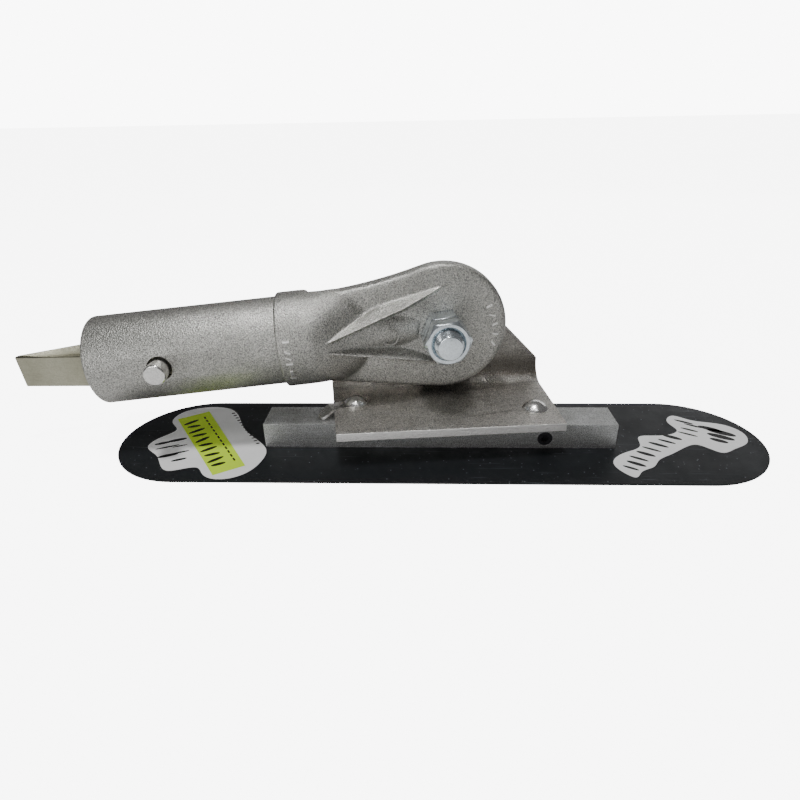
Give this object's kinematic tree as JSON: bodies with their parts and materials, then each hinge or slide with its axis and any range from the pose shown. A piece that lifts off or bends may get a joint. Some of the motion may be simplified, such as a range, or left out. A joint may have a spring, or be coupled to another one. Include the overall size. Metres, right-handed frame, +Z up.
{
  "type": "bull float head",
  "caption": "Round-ended concrete float blade with a mounting bar, an angle bracket and a tilting cast adapter for a push-button pole handle.",
  "frame": {"origin": "centre of the blade's flat working face, on its underside", "axes": "+X along the blade away from the handle end, +Y across the blade towards the bracket's upright, +Z up from the working face"},
  "size_m": [0.348, 0.0843, 0.0807],
  "materials": {
    "blade_black": "satin black, faintly blue",
    "mill_aluminium": "mill finish, sawn and scratched",
    "cast_aluminium": "fine blasted casting",
    "zinc_steel": "bright zinc",
    "bright_steel": "smooth",
    "spring_steel": "yellowish, rolled",
    "black_oxide": "black oxide",
    "decal_white": "printed film",
    "decal_green": "printed film"
  },
  "bodies": {
    "float_body": {"blade": "blade_black", "blade_rivets": "mill_aluminium", "mount_bar": "mill_aluminium", "bar_set_screw": "black_oxide", "angle_bracket": "mill_aluminium", "foot_screw_right": "bright_steel", "foot_screw_left": "bright_steel", "lock_tab_washer": "bright_steel", "pivot_spacer": "zinc_steel", "bolt_washer": "zinc_steel", "pivot_nut": "zinc_steel", "jam_nut": "zinc_steel", "pivot_bolt": "zinc_steel", "decal_left_sheet": "decal_white", "decal_left_band": "decal_green", "decal_right_sheet": "decal_white"},
    "adapter": {"handle_adapter": "cast_aluminium", "spring_clip": "spring_steel"},
    "button": {"snap_button": "bright_steel"}
  },
  "joints": [
    {"name": "handle_tilt", "type": "hinge", "parent": "float_body", "child": "adapter", "pos_m": [0.00276, 0.02177, 0.0496], "axis": [-0.1031, 0.9947, 0], "range_deg": [-4, 190]},
    {"name": "button_press", "type": "slide", "parent": "adapter", "child": "button", "axis": [-0.1031, 0.9947, 0], "range_m": [0, 0.0082], "stiffness_N_per_m": 700, "springref_m": -0.003, "deforming": ["spring_clip"]}
  ]
}
